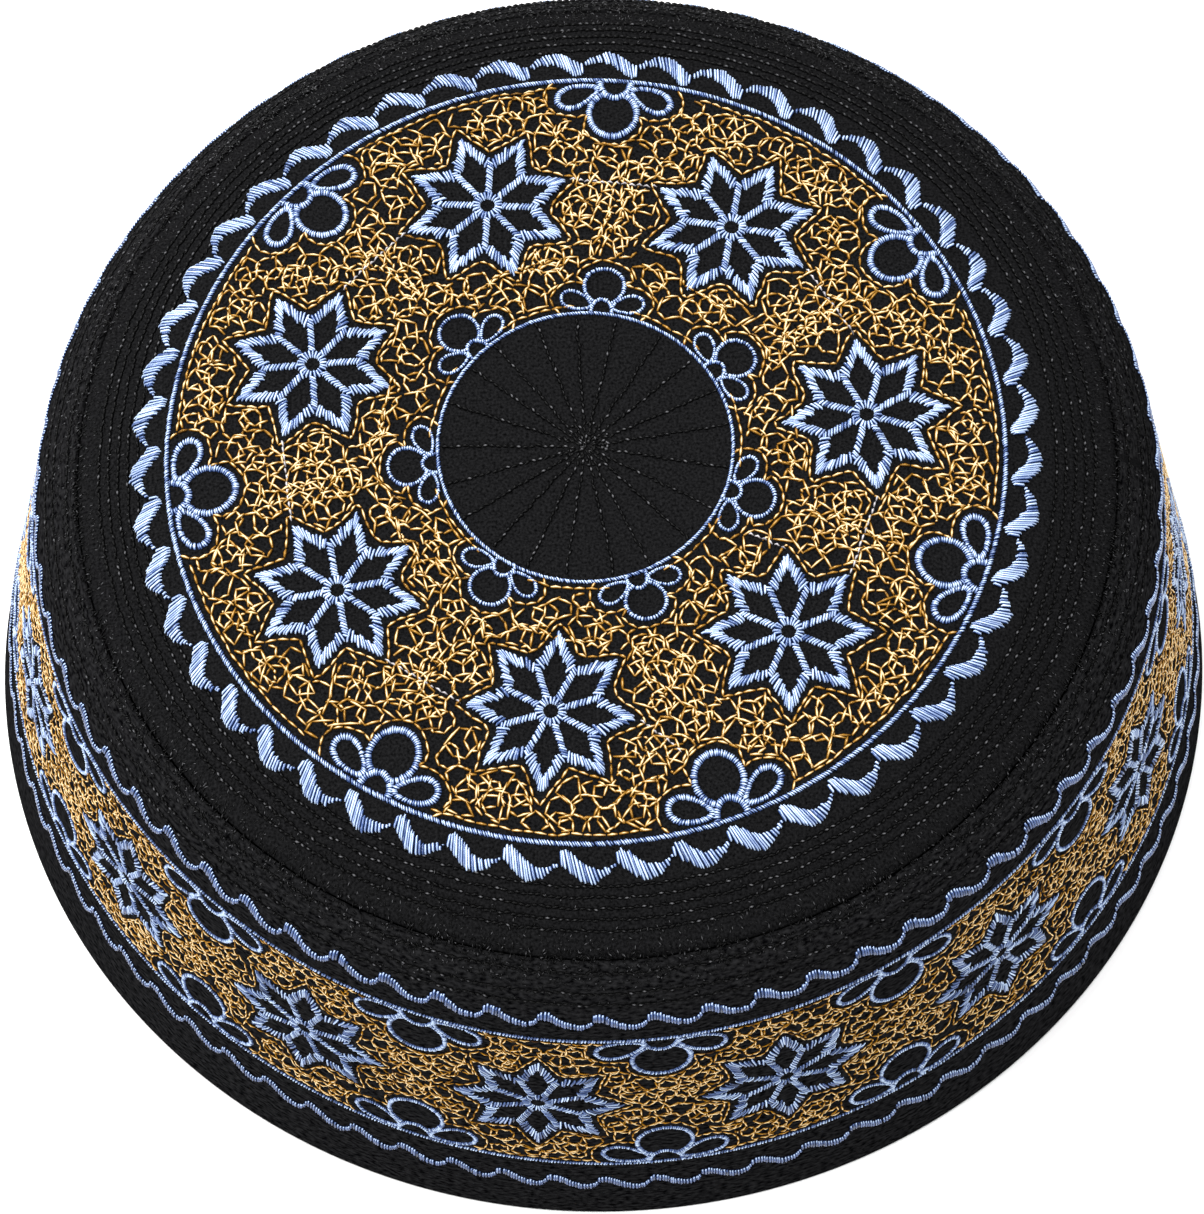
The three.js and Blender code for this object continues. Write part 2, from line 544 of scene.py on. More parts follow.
def onRing(radius, angle, grow):           # a flower's points on a ring of the crown, growing out or in
    def place(points):
        r = radius + grow * points[:, 1]
        turned = angle - grow * points[:, 0] / (radius + grow * flowerShape["trueHeight"])
        return polar(r, turned) + medallionShift
    return place


def crownStars():
    parts = []
    for k in range(medallion["repeats"]):
        angle = medallionFirst + k * medallionStep
        middle = polar(medallion["starRing"], angle) + starShift
        parts += moved(starStitches(angle, medallion["starPitch"]), lambda p, middle=middle: p + middle)
    return sewStitches("crown_stars", crownSpot, parts, blueThread, satinShape, threadBlue, "blue_thread")


def crownFlowers():
    parts = []
    for k in range(medallion["repeats"]):
        angle = medallionFirst + (k + 0.5) * medallionStep
        outer = flowerStitches(medallion["outerFlower"], medallion["outerStripe"])
        outerFoot = medallion["ringLine"] - medallion["outerSeat"]
        parts += moved(outer, onRing(outerFoot, angle + outerTurns[k], -1))
        inner = flowerStitches(medallion["innerFlower"], medallion["innerStripe"])
        innerFoot = medallion["innerLine"] + medallion["innerSeat"]
        parts += moved(inner, onRing(innerFoot, angle, 1))
    return sewStitches("crown_flowers", crownSpot, parts, blueRope, ropeShape, threadBlue, "blue_thread")


# one scallop: how far along, and the heights of its upper and lower edge above the ring line
scallopEdges = np.array([
    # along, upper, alongLow, lower
    [0.00, 2.45, 0.02, 1.30],
    [0.10, 3.10, 0.05, 0.75],
    [0.24, 4.00, 0.13, 0.60],
    [0.35, 4.80, 0.23, 0.95],
    [0.46, 5.25, 0.35, 1.85],
    [0.57, 5.30, 0.47, 2.65],
    [0.68, 5.00, 0.60, 3.10],
    [0.80, 4.40, 0.74, 3.15],
    [0.91, 3.60, 0.88, 2.90],
    [1.00, 2.80, 0.99, 2.40],
])


def smoothTable(columns, steps=25):        # a smooth line through the rows of a table
    fine = np.linspace(0, len(columns) - 1, steps)
    low = np.clip(fine.astype(int), 0, len(columns) - 2)
    t = (fine - low)[:, None]
    padded = np.vstack([2 * columns[0] - columns[1], columns, 2 * columns[-1] - columns[-2]])
    a, b, c, d = (padded[low + n] for n in range(4))
    curve = 2 * b + (c - a) * t + (2 * a - 5 * b + 4 * c - d) * t ** 2 + (3 * b - a - 3 * c + d) * t ** 3
    return 0.5 * curve


def crownScallops():
    m = medallion
    parts = []
    base = m["ringLine"] + m["lineWidth"] / 2
    step = fullTurn / m["scallops"]
    edges = smoothTable(scallopEdges)
    length = step * base
    upper = np.stack([edges[:, 0] * length, edges[:, 1]], 1)
    lower = np.stack([edges[:, 2] * length, edges[:, 3]], 1)
    for k in range(m["scallops"]):
        angle = medallionFirst + math.radians(m["scallopTurn"]) + k * step
        place = lambda p, angle=angle: polar(base + p[:, 1], angle + p[:, 0] / base) + medallionShift
        scallop = satinStitches(lower, upper, m["scallopPitch"], m["scallopLoft"], ragged=m["scallopRagged"])
        parts += moved([scallop], place)
    return sewStitches("crown_scallops", crownSpot, parts, blueThread, satinShape, threadBlue, "blue_thread")


def crownLines():
    m = medallion
    parts = []
    for radius, width in ((m["ringLine"], m["lineWidth"]), (m["innerLine"], m["innerLineWidth"])):
        turn = np.linspace(0, fullTurn, 361)
        inner, outer = polar(radius - width / 2, turn), polar(radius + width / 2, turn)
        slant = m["lineSlant"] / (fullTurn * radius)
        line = satinStitches(inner, outer, m["linePitch"], m["lineLoft"], slant=slant)
        parts += moved([line], lambda p: p + medallionShift)
    return sewStitches("crown_lines", crownSpot, parts, lineThread, ropeShape, threadBlue, "blue_thread")


crownStars()
crownFlowers()
crownScallops()
crownLines()


# layout of the band's frieze
frieze = {
    "stars": 15,
    "phase": -97.9,            # direction of the first star, degrees
    "starHeight": 35.6,
    "starPitch": 0.63,
    "upperLine": 56.4,
    "lowerLine": 16.2,
    "lineWidth": 0.54,
    "linePitch": 0.47,
    "lineSlant": 0.3,
    "lineLoft": 0.16,
    "lineSeat": 0.3,           # from a line's middle to where the net may start
    "upperWaves": 66,
    "upperWave": 62.3,
    "upperWaveTurn": 0.2,      # degrees from the first star to a crest
    "upperWaveDrift": 0.0,     # share of the drift below
    "lowerWaves": 74,
    "lowerWave": 9.7,
    "lowerWaveTurn": 0.85,
    "lowerWaveDrift": 0.6,
    "wavePitch": 0.5,
    "waveRagged": 0.1,
    "waveLoft": 0.22,
    "star": 1.03,
    "flower": 1.0,
    "stripe": 0.76,            # width of a flower's sewn outline
    "flatness": 0.5,           # loft of stars and flowers, next to the crown's
    "raise": 0.9,
    "lift": 0.9,               # the sewing rides up between four low places
    "liftTurn": -88,
    "lean": (0.9, -0.030),     # and is higher on one side, at the foot and for each millimetre up
    "leanTurn": -170,
    "leanFoot": 13,            # height of that foot
    "drift": 0.75,             # degrees that the sewing runs ahead, twice in a turn
    "driftTurn": -115,
}
# these threads have a lower tone than the crown's, which dims their painted ridge highlight for the band's
# dimmer light
bandThread = {"width": 0.54, "sink": 0.06, "round": 0.62, "tone": 0.76, "toneSpread": 0.3, "sparkle": 0.2}
bandRope = {"width": 0.56, "sink": 0.06, "round": 0.62, "tone": 0.84, "toneSpread": 0.26, "sparkle": 0.18}
waveThread = {"width": 0.72, "sink": 0.06, "round": 0.52, "tone": 0.8, "toneSpread": 0.25, "sparkle": 0.2}
friezePulls = np.array([       # places where the sewing was pulled up or down
    # turn, sharpness, millimetres, heightOfNone, heightOfAll
    [-170, 4, 2.5, 58, 13],
    [-20, 6, -1.7, 38, 56],
])
friezeStep = fullTurn / frieze["stars"]
friezeFirst = math.radians(frieze["phase"])


def friezeLift(angle, z):
    foot, up = frieze["lean"]
    lean = (foot + up * (z - frieze["leanFoot"])) * np.cos(angle - math.radians(frieze["leanTurn"]))
    waves = frieze["lift"] * (1 - np.cos(4 * (angle - math.radians(frieze["liftTurn"]))))
    pulls = 0.0
    for turn, sharpness, amount, none, full in friezePulls:
        beside = np.maximum(0, np.cos(angle - math.radians(turn))) ** sharpness
        pulls = pulls + amount * beside * np.clip((z - none) / (full - none), 0, 1)
    return frieze["raise"] + lean + waves + pulls


def friezeDrift(angle):
    return math.radians(frieze["drift"]) * (1 - np.cos(2 * (angle - math.radians(frieze["driftTurn"]))))


def onBand(angle, height, grow=1, drift=1.0):          # a motif's points on the band, growing up or down
    def place(points):
        z = height + grow * points[:, 1]
        turned = angle + drift * friezeDrift(angle) + points[:, 0] / bandRadius(height)
        return np.stack([turned, z + friezeLift(turned, z)], 1)
    return place


def bandStars():
    parts = []
    for k in range(frieze["stars"]):
        place = onBand(friezeFirst + k * friezeStep, frieze["starHeight"])
        star = starStitches(math.pi / 2, frieze["starPitch"])
        size, flat = frieze["star"], frieze["flatness"]
        parts += moved([(a * size, b * size, loft * flat) for a, b, loft in star], place)
    return sewStitches("band_stars", bandSpot, parts, bandThread, satinShape, bandBlue, "blue_thread")


def bandFlowers():
    parts = []
    for k in range(frieze["stars"]):
        angle = friezeFirst + (k + 0.5) * friezeStep
        for height, grow in ((frieze["upperLine"], -1), (frieze["lowerLine"], 1)):
            flower = flowerStitches(frieze["flower"], frieze["stripe"])
            flat = [(a, b, loft * frieze["flatness"]) for a, b, loft in flower]
            parts += moved(flat, onBand(angle, height, grow))
    return sewStitches("band_flowers", bandSpot, parts, bandRope, ropeShape, bandBlue, "blue_thread")


# one wave of the band's edging: how far along, and its upper and lower edge
waveEdges = np.array([
    # along, upper, alongLow, lower
    [0.00, 1.35, 0.00, 0.00],
    [0.06, 1.95, 0.06, 0.10],
    [0.16, 1.95, 0.15, 0.05],
    [0.28, 1.55, 0.27, -0.45],
    [0.42, 0.65, 0.42, -1.35],
    [0.56, -0.15, 0.56, -2.05],
    [0.70, -0.60, 0.70, -2.30],
    [0.82, -0.65, 0.82, -2.10],
    [0.92, -0.20, 0.92, -1.45],
    [0.99, 0.50, 1.00, -0.40],
])


def bandWaves():
    parts = []
    edges = smoothTable(waveEdges)
    for row in ("upperWave", "lowerWave"):
        height, waves = frieze[row], frieze[row + "s"]
        length = fullTurn * bandRadius(height) / waves
        upper = np.stack([edges[:, 0] * length, edges[:, 1]], 1)
        lower = np.stack([edges[:, 2] * length, edges[:, 3]], 1)
        first = friezeFirst + math.radians(frieze[row + "Turn"])
        for k in range(waves):
            place = onBand(first + k * fullTurn / waves, height, drift=frieze[row + "Drift"])
            wave = satinStitches(lower, upper, frieze["wavePitch"], frieze["waveLoft"],
                                 ragged=frieze["waveRagged"])
            parts += moved([wave], place)
    return sewStitches("band_waves", bandSpot, parts, waveThread, edgeShape, bandBlue, "blue_thread")


def bandLines():
    parts = []
    for height in (frieze["upperLine"], frieze["lowerLine"]):
        radius = bandRadius(height)
        along = np.linspace(0, fullTurn * radius, 721)
        half = frieze["lineWidth"] / 2
        low = np.stack([along, np.full_like(along, -half)], 1)
        high = np.stack([along, np.full_like(along, half)], 1)
        slant = frieze["lineSlant"] / (fullTurn * radius)
        line = satinStitches(low, high, frieze["linePitch"], frieze["lineLoft"], slant=slant)
        parts += moved([line], onBand(0, height))
    return sewStitches("band_lines", bandSpot, parts, bandRope, ropeShape, bandBlue, "blue_thread")


bandStars()
bandFlowers()
bandWaves()
bandLines()


# golden net between the motifs
crownNetLook = {
    "spacing": 3.15,           # millimetres between the middles of neighbouring loops
    "loop": (1.8, 2.7),        # smallest and largest loop radius
    "margin": 1.35,            # bare cloth left round the motifs
    "stitch": 1.7,             # length of a stitch along an outline
    "loft": 0.2,
    "edge": (0.2, 0.8, 1.0),   # part of a step along which a strand follows a line, and how far off it
    "ridges": 3,               # strands laid side by side where the needle went back and forth
    "ridgeFoot": (31.5, 37),   # between stars: where they start and end, and how far they turn
    "ridgeHead": (44, 51.5),
    "ridgeLean": 0.04,
    "ridgeRing": (31, 0.5),    # above the inner flowers: radius, its spread and how far they turn
    "ridgeReach": (-0.3, 0.3),
    "ridgeStray": 0.5,
    "ridgeLoft": 0.3,
}
bandNetLook = {"spacing": 2.75, "loop": (1.3, 2.2), "margin": 1.15, "stitch": 1.6, "loft": 0.12,
               "edge": (0.25, 0.75, 1.1), "outlineLoft": 0.1}
loopShape = {
    "rowShare": 0.866,         # from row to row of loops, next to the spacing
    "stray": 0.18,             # share of the spacing that a loop may be off its place
    "spare": 0.35,             # room that a loop's middle needs beyond the margin
    "sides": (6, 10),          # least, and one more than most
    "turnStray": 0.18,
    "sizeStray": (0.87, 1.13),
    "pulls": 5,                # corners over a motif are drawn back to the loop's middle so often
    "pullShare": 0.72,
    "endStray": 0.15,
}
outlineShape = {               # gold lines round the motifs
    "starTip": 1.7,            # millimetres outside the star's points and notches
    "starNotch": 1.25,
    "flowerGap": 1.1,
    "leafMiddle": (6.8, 3.1),
    "leafHalf": (3.7, 2.9),
    "leafSpan": (-50, 120),    # degrees of the ovals round leaf and petal
    "petalSpan": (22, 158),
    "show": 0.88,              # share of a stitch that lies on the cloth
}
goldThread = {"width": 0.56, "sink": 0.05, "round": 0.7, "tone": 1.0, "toneSpread": 0.26, "sparkle": 0.25}
goldFine = {"width": 0.42, "sink": 0.05, "round": 0.65, "tone": 0.95, "toneSpread": 0.4, "sparkle": 0.42}
flowerDiscs = np.array([
    # along, up, radius
    [0.0, 6.5, 4.9],
    [0.0, 0.0, 3.2],
    [-7.0, 3.3, 3.0],
    [7.0, 3.3, 3.0],
    [-4.4, 2.1, 2.3],
    [4.4, 2.1, 2.3],
])


def starRoom(points, turn, scale=1.0):     # distance outside a star's outline, about
    step = fullTurn / starShape["points"]
    r = np.hypot(points[:, 0], points[:, 1])
    off = np.abs((np.arctan2(points[:, 1], points[:, 0]) - turn + step / 2) % step - step / 2)
    tip = np.array([starShape["tip"] * scale, 0.0])
    side = polar(starShape["notch"] * scale, step / 2) - tip
    normal = np.array([side[1], -side[0]]) / np.linalg.norm(side)
    return (polar(r, off) - tip) @ normal


def flowerRoom(points, scale):
    rooms = []
    for along, up, radius in flowerDiscs * scale:
        rooms.append(np.hypot(points[:, 0] - along, points[:, 1] - up) - radius)
    return np.min(rooms, axis=0)


def crownRoom(points):         # how far a place on the crown is from the nearest motif
    p = points - medallionShift
    r = np.hypot(p[:, 0], p[:, 1])
    angle = np.arctan2(p[:, 1], p[:, 0])
    turns = (angle - medallionFirst) / medallionStep
    near = medallionFirst + np.round(turns) * medallionStep
    room = starRoom(p - medallion["starShift"] - polar(medallion["starRing"], near), near)
    between = np.floor(turns).astype(int)
    near = medallionFirst + (between + 0.5) * medallionStep
    ahead = outerTurns[between % medallion["repeats"]]
    for radius, grow, scale in ((medallion["ringLine"], -1, medallion["outerFlower"]),
                                (medallion["innerLine"], 1, medallion["innerFlower"])):
        u = (angle - near - (ahead if grow < 0 else 0)) * (radius + grow * flowerShape["trueHeight"])
        room = np.minimum(room, flowerRoom(np.stack([u, grow * (r - radius)], 1), scale))
    inside = medallion["ringLine"] - medallion["outerSeat"] - r
    outside = r - medallion["innerLine"] - medallion["innerSeat"]
    return np.minimum(room, np.minimum(inside, outside))


def bandRoom(points):          # the same on the band, in millimetres along and up
    radius = bandRadius(frieze["starHeight"])
    z = points[:, 1]
    turns = (points[:, 0] / radius - friezeFirst) / friezeStep
    u = (turns - np.round(turns)) * friezeStep * radius
    room = starRoom(np.stack([u, z - frieze["starHeight"]], 1), math.pi / 2, frieze["star"])
    u = (turns - np.floor(turns) - 0.5) * friezeStep * radius
    for height, grow in ((frieze["upperLine"], -1), (frieze["lowerLine"], 1)):
        room = np.minimum(room, flowerRoom(np.stack([u, grow * (z - height)], 1), frieze["flower"]))
    seat = frieze["lineSeat"]
    return np.minimum(room, np.minimum(frieze["upperLine"] - seat - z, z - frieze["lowerLine"] - seat))


def loopNet(low, high, room, look):        # overlapping many-sided loops that fill the room between motifs
    gap = look["spacing"]
    xs = np.arange(low[0], high[0], gap)
    ys = np.arange(low[1], high[1], gap * loopShape["rowShare"])
    grid = np.stack(np.meshgrid(xs, ys), -1)
    grid[1::2, :, 0] += gap / 2
    middles = grid.reshape(-1, 2) + dice.normal(0, gap * loopShape["stray"], (grid.size // 2, 2))
    middles = middles[room(middles) > look["margin"] + loopShape["spare"]]
    starts, ends = [], []
    for middle in middles:
        sides = int(dice.integers(*loopShape["sides"]))
        turn = dice.uniform(0, fullTurn) + np.arange(sides) * fullTurn / sides
        turn += dice.normal(0, loopShape["turnStray"], sides)
        size = dice.uniform(*look["loop"]) * dice.uniform(*loopShape["sizeStray"], sides)
        corners = middle + polar(size, turn)
        pulled = np.zeros(sides, bool)
        for pull in range(loopShape["pulls"]):
            over = room(corners) < look["margin"]
            pulled |= over
            corners[over] = middle + (corners[over] - middle) * loopShape["pullShare"]
        free = ~(pulled & np.roll(pulled, -1))         # beside a motif its outline is line enough
        starts.append(corners[free])
        nextCorners = np.roll(corners, -1, axis=0) + dice.normal(0, loopShape["endStray"], corners.shape)
        ends.append(nextCorners[free])
    return np.concatenate(starts), np.concatenate(ends)


def outlineRun(line, stitch, stray=0.12):  # straight stitches end to end along a line
    count = max(2, round(lineLength(line) / stitch))
    lengths = np.concatenate([[0], np.cumsum(np.linalg.norm(np.diff(line, axis=0), axis=1))])
    at = np.linspace(0, lengths[-1], count + 1)
    points = np.stack([np.interp(at, lengths, line[:, 0]), np.interp(at, lengths, line[:, 1])], 1)
    points[1:-1] += dice.normal(0, stray, (count - 1, 2))
    show = outlineShape["show"]
    return points[:-1], points[1:] * show + points[:-1] * (1 - show)


def starOutline(turn, scale=1.0):          # gold line round a star
    k = np.arange(2 * starShape["points"] + 1)
    tip = starShape["tip"] * scale + outlineShape["starTip"]
    notch = starShape["notch"] * scale + outlineShape["starNotch"]
    radius = np.where(k % 2 == 0, tip, notch)
    return polar(radius, turn + k * math.pi / starShape["points"])


def flowerOutline(scale):      # gold line round a flower, from line to line
    grown = outlineShape["flowerGap"] / scale
    leafX, leafY = outlineShape["leafHalf"]
    petalX, petalY = flowerShape["petalHalf"]
    leafSpan = [math.radians(end) for end in outlineShape["leafSpan"]]
    petalSpan = [math.radians(end) for end in outlineShape["petalSpan"]]
    right = ovalLine(outlineShape["leafMiddle"], leafX + grown, leafY + grown, *leafSpan, 9)
    middle = ovalLine((0, flowerShape["petalMiddle"]), petalX + grown, petalY + grown, *petalSpan, 11)
    left = right[::-1] * [-1, 1]
    return np.vstack([right, middle, left]) * scale


def crownNet():
    look = crownNetLook
    m = medallion
    reach = m["ringLine"]
    starts, ends = loopNet((-reach, -reach), (reach, reach), crownRoom, look)
    parts = [(starts, ends, look["loft"])]
    first, last, off = look["edge"]
    for k in range(m["repeats"]):
        angle = medallionFirst + k * medallionStep
        half = angle + medallionStep / 2
        lines = [starOutline(angle) + polar(m["starRing"], angle) + starShift]
        for radius, grow, scale in ((m["ringLine"] - m["outerSeat"], -1, m["outerFlower"]),
                                    (m["innerLine"] + m["innerSeat"], 1, m["innerFlower"])):
            turned = half + (outerTurns[k] if grow < 0 else 0)
            lines.append(onRing(radius, turned, grow)(flowerOutline(scale)))
            turn = np.linspace(first, last, 15) * medallionStep + half
            lines.append(polar(radius + grow * off, turn) + medallionShift)
        parts += [(*outlineRun(line, look["stitch"]), look["loft"]) for line in lines]
        for strand in range(look["ridges"]):           # first between stars, then above the inner flowers
            foot, head = dice.uniform(*look["ridgeFoot"]), dice.uniform(*look["ridgeHead"])
            lean = np.linspace(*dice.normal(0, look["ridgeLean"], 2), 7)
            up = polar(np.linspace(foot, head, 7), half + lean) + medallionShift
            ring = dice.normal(*look["ridgeRing"])
            over = polar(ring, angle + np.linspace(*dice.uniform(*look["ridgeReach"], 2), 7)) + medallionShift
            for line in (up, over):
                parts.append((*outlineRun(line, look["stitch"], look["ridgeStray"]), look["ridgeLoft"]))
    return sewStitches("crown_net", crownSpot, parts, goldThread, netShape, threadGold, "gold_thread")


def bandNet():
    look = bandNetLook
    radius = bandRadius(frieze["starHeight"])
    half = math.pi * radius
    first, last, off = look["edge"]
    lines = []
    for k in range(frieze["stars"]):
        angle = friezeFirst + k * friezeStep
        lines.append(onBand(angle, frieze["starHeight"])(starOutline(math.pi / 2, frieze["star"])))
        middle = angle + friezeStep / 2
        for height, grow in ((frieze["upperLine"], -1), (frieze["lowerLine"], 1)):
            lines.append(onBand(middle, height, grow)(flowerOutline(frieze["flower"])))
            along = np.linspace(first, last, 13)[:, None] * friezeStep * radius
            lines.append(onBand(middle, height, grow)(np.hstack([along, np.full_like(along, off)])))
    toAngle = np.array([1 / radius, 1])
    loops = []
    for points in loopNet((-half, frieze["lowerLine"]), (half, frieze["upperLine"]), bandRoom, look):
        spots = points * toAngle
        spots[:, 0] += friezeDrift(spots[:, 0])
        spots[:, 1] += friezeLift(spots[:, 0], spots[:, 1])
        loops.append(spots)
    parts = [(loops[0], loops[1], look["loft"])]
    for line in lines:
        a, b = outlineRun(line / toAngle, look["stitch"])
        parts.append((a * toAngle, b * toAngle, look["outlineLoft"]))
    return sewStitches("band_net", bandSpot, parts, goldFine, netShape, bandGold, "gold_thread")


crownNet()
bandNet()


# pale threads that the needle trailed from star to star, and from the first and last star to a flower
trailLook = {
    "stitch": 1.15,
    "show": 0.92,              # share of a stitch that lies on the cloth
    "tip": 13.2,               # from a star's middle to the end of a trail
    "outerEnd": (11.8, 0.06),  # at a flower: millimetres from its line, and turn
    "innerEnd": (6.0, 0.2),
    "wander": 0.07,
    "loft": 0.42,
}
paleThread = {"width": 0.42, "sink": 0.06, "round": 0.8, "tone": 0.8, "toneSpread": 0.25, "sparkle": 0.2}


def starTip(k, point):         # just outside a point of a crown star, counted from the one that faces out
    angle = medallionFirst + k * medallionStep
    tip = polar(trailLook["tip"], angle + point * fullTurn / starShape["points"])
    return polar(medallion["starRing"], angle) + starShift + tip


def starTrails():
    flower = medallionFirst + 0.5 * medallionStep
    far, turn = trailLook["outerEnd"]
    outer = polar(medallion["ringLine"] - far, flower - turn) + medallionShift
    far, turn = trailLook["innerEnd"]
    inner = polar(medallion["innerLine"] + far, flower + medallionStep - turn) + medallionShift
    ends = [(starTip(k, 2), starTip(k + 1, -2)) for k in range(1, medallion["repeats"])]
    parts = []
    for a, b in ends + [(starTip(0, 2), outer), (inner, starTip(1, 3))]:
        count = max(2, round(np.linalg.norm(b - a) / trailLook["stitch"]))
        t = np.arange(count)[:, None] / count
        wander = dice.normal(0, trailLook["wander"], (2, count, 2))
        starts = a + (b - a) * t + wander[0]
        stops = a + (b - a) * (t + trailLook["show"] / count) + wander[1]
        parts.append((starts, stops, trailLook["loft"]))
    return sewStitches("star_trails", crownSpot, parts, paleThread, netShape, threadPale, "blue_thread")


starTrails()


# black quilting
quilting = {
    "crownRows": 68.9 + 1.5 * np.arange(5),
    "spokes": 21,
    "spokeTurn": 0.1,          # direction of the first
    "spokeStray": 0.02,
    "spokeStart": (0.3, 1.6),
    "spokeReach": 21.0,
    "spokeWander": 0.11,
    "shoulderRows": np.array([66.6, 68.3, 70.9]),
    "hemFold": 1.5,            # height of the turned-up edge's crease
    "stitch": 1.0,
    "show": (0.8, 0.98),       # share of a stitch that lies on the cloth, in rows and in spokes
    "spokeShow": 0.9,
    "wander": 0.12,
    "loft": 0.08,
    "knots": 90,               # stray stitches where the spokes meet
    "knotReach": 4.0,
    "knotLength": (0.3, 0.9),
    "knotLoft": 0.1,
    "overlocks": 9000,         # short crossing stitches that bind the seam
    "overlockBelt": (0.8, 3.2),            # millimetres past the seam: middle and spread of them
    "overlockEnds": (-8.0, 7.5),
    "overlockLength": (0.4, 0.95),
    "overlockLean": (0.2, 0.8),
    "overlockLoft": 0.04,
}
blackThread = {"width": 0.56, "sink": 0.1, "round": 0.8, "tone": 0.36, "toneSpread": 0.2, "sparkle": 0.15}
shoulderThread = {"width": 0.48, "sink": 0.1, "round": 0.8, "tone": 0.34, "toneSpread": 0.18, "sparkle": 0.1}
overlockThread = {"width": 0.22, "sink": 0.07, "round": 0.9, "tone": 0.42, "toneSpread": 0.2, "sparkle": 0.12}
seamWay = np.concatenate([[0], np.cumsum(np.linalg.norm(np.diff(shoulder[::-1], axis=0), axis=1))])


def seamSpot(spots):           # angle and distance from the seam: under zero on the crown, over on the band
    angle, way = spots[..., 0], spots[..., 1]
    onCrown = crownSpot(polar(seamRadius + np.minimum(way, 0), angle))
    onWall = bandSpot(np.stack([angle, np.interp(way, seamWay, shoulder[::-1, 1])], -1))
    return tuple(np.where(way[..., None] < 0, a, b) for a, b in zip(onCrown, onWall))


def runAround(radius, place):  # a row of running stitches round the cap
    count = round(fullTurn * radius / quilting["stitch"])
    turn = np.arange(count) * fullTurn / count + dice.uniform(0, 1)
    share = dice.uniform(*quilting["show"], count) * fullTurn / count
    wander = dice.normal(0, quilting["wander"], (2, count))
    return place(turn, wander[0]), place(turn + share, wander[1]), quilting["loft"]


def crownQuilting():
    q = quilting
    parts = []
    for radius in q["crownRows"]:
        parts.append(runAround(radius, lambda turn, off, radius=radius: polar(radius + off, turn)))
    for k in range(q["spokes"]):
        angle = k * fullTurn / q["spokes"] + q["spokeTurn"] + dice.normal(0, q["spokeStray"])
        at = np.arange(dice.uniform(*q["spokeStart"]), q["spokeReach"], q["stitch"])
        wander = angle + dice.normal(0, q["spokeWander"], (2, len(at))) / np.maximum(at, 1)
        inner, outer = polar(at, wander[0]), polar(at + q["spokeShow"] * q["stitch"], wander[1])
        parts.append((inner + medallionShift, outer + medallionShift, q["loft"]))
    count = q["knots"]
    knots = polar(q["knotReach"] * dice.random(count) ** 0.8, dice.uniform(0, fullTurn, count))
    tails = polar(dice.uniform(*q["knotLength"], count), dice.uniform(0, fullTurn, count))
    parts.append((knots + medallionShift, knots + tails + medallionShift, q["knotLoft"]))
    return sewStitches("crown_quilting", crownSpot, parts, blackThread, runShape,
                       threadBlack, "black_thread")


def bandQuilting():
    parts = []
    for height in quilting["shoulderRows"]:
        place = lambda turn, off, height=height: np.stack([turn, height + off], 1)
        parts.append(runAround(bandRadius(height), place))
    return sewStitches("band_quilting", bandSpot, parts, shoulderThread, runShape,
                       threadBlack, "black_thread")


def seamOverlock():
    count = quilting["overlocks"]
    turn = dice.uniform(0, fullTurn, count)
    way = np.clip(dice.normal(*quilting["overlockBelt"], count), *quilting["overlockEnds"])
    long = dice.uniform(*quilting["overlockLength"], count)
    lean = dice.normal(*quilting["overlockLean"], count)
    reach = np.stack([long * np.sin(lean) / seamRadius, long * np.cos(lean)], 1) / 2
    middle = np.stack([turn, way], 1)
    parts = [(middle - reach, middle + reach, quilting["overlockLoft"])]
    return sewStitches("seam_overlock", seamSpot, parts, overlockThread, runShape,
                       threadBlack, "black_thread")


crownQuilting()
bandQuilting()
seamOverlock()


# the two cloth panels
crownPanelLook = {
    "rowDent": (0.18, 0.4),    # depth and half width of the dents that sewing leaves
    "spokeDent": (0.1, 0.6),
    "spokeFade": (2.5, 4),     # no dent up to here from the middle, and the way to a full one
    "padding": 0.22,           # depth and size of the puffs under the medallion
    "paddingScale": 1.9,
    "paddingEnds": (20, 68),
    "paddingFade": 3,
    "grooveWidth": 1.1,
    "groovePuffs": (0.7, 0.6),
    "fineFrom": 66,            # radius where the fine rows of the mesh start
    "fineRow": 0.35,
    "underside": (70, 55, 35, 15),         # radii of the rows below
    "middleRing": 0.4,         # innermost ring, above and below
}
bandPanelLook = {
    "hemDent": (0.1, 0.35),
    "rowDent": (0.1, 0.4),
    "fineTo": 8,               # height where the fine rows of the mesh end
    "fineRow": 0.35,
    "row": 1.6,
    "wallTop": 62,
    "wallInside": (58, 0.4),   # heights where the plain inside of the wall starts and ends
    "lap": 4,                  # how far the cloth goes in under the crown, and how thick it is there
    "lapCloth": 1.3,
    "shoulderShare": (0.8, 0.75),          # cloth inwards and down at the shoulder, next to the wall's
    "hemCorners": (0.4, 0.6, 0.15),        # rounding of the folded edge: inside, outside, and its height
    "streak": 0.5,             # under one draws the grain out along the band
}


def turnedCloth(name, rows, flat, material, slot, node, poles):
    columns = rows.shape[1]
    points = rows.reshape(-1, 3)
    quads = ringQuads(len(rows), columns, closed=not poles)
    tris = []
    if poles:                  # close the middle of the top and of the underside
        points = np.vstack([points, rows[0].mean(0), rows[-1].mean(0)])
        ring = np.arange(columns)
        last = (len(rows) - 1) * columns
        top, under = len(points) - 2, len(points) - 1
        after = np.roll(ring, -1)
        tris = np.concatenate([np.stack([np.full(columns, top), after, ring], 1),
                               np.stack([np.full(columns, under), last + ring, last + after], 1)])
        flat = np.vstack([flat, [[0, 0], [0, 0]]])
    piece = meshPiece(name, points, quads[:, ::-1] if poles else quads, tris)
    clothUv(piece, flat)
    dressPiece(piece, material, slot, node)
    print(name, len(piece.data.polygons) * 2, "triangles")
    return piece


